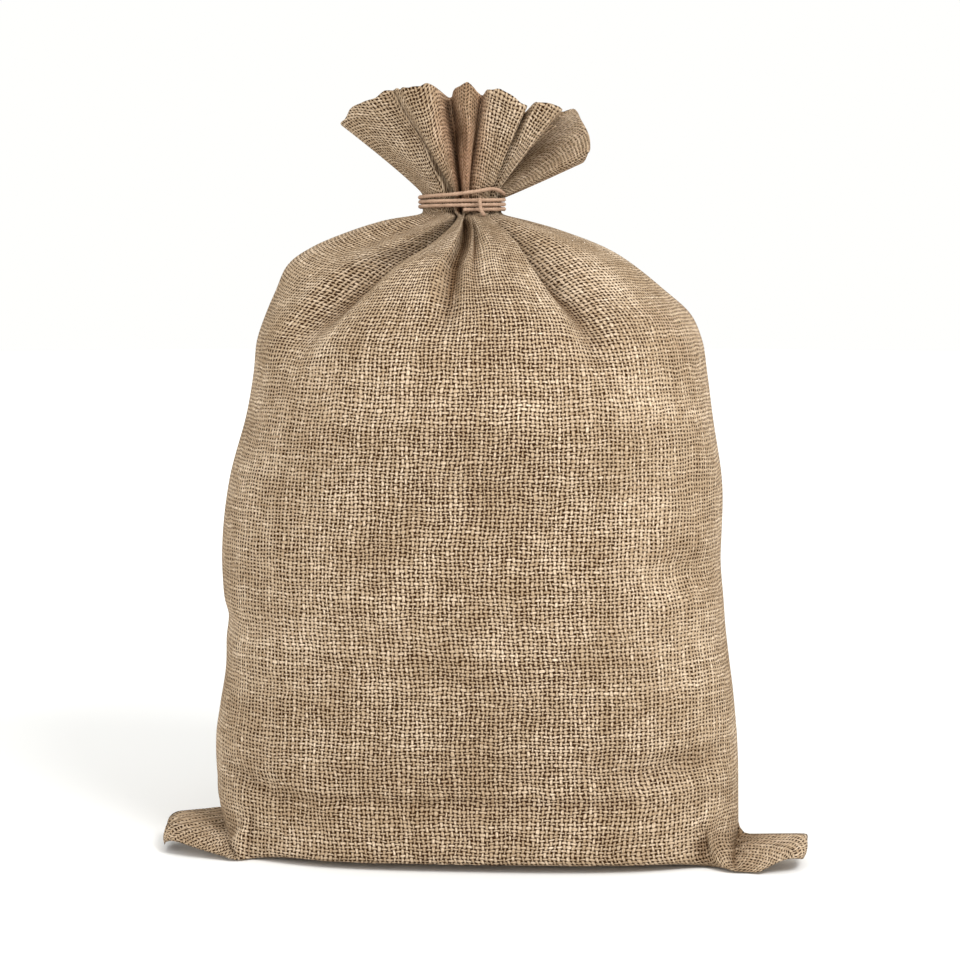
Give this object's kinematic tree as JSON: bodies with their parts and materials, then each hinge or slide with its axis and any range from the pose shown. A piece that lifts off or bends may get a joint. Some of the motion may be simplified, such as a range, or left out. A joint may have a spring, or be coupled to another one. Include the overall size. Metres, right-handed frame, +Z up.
{
  "type": "burlap sack",
  "caption": "Upright filled sack of coarse plain-woven jute, its mouth gathered into a frill and tied with jute twine, with flattened bottom corners.",
  "frame": {"origin": "on the surface the sack stands on, under the middle of its outline", "axes": "+Z up, the front faces -Y, +X to the right seen from the front"},
  "size_m": [0.397, 0.2039, 0.4654],
  "materials": {
    "jute_cloth": "coarse plain weave of tan jute yarn, matt",
    "jute_twine": "thin twisted jute twine, fuzzy, matt"
  },
  "bodies": {
    "root": {"sack": "jute_cloth", "tie_twine": "jute_twine", "tie_hitch": "jute_twine"}
  },
  "joints": []
}
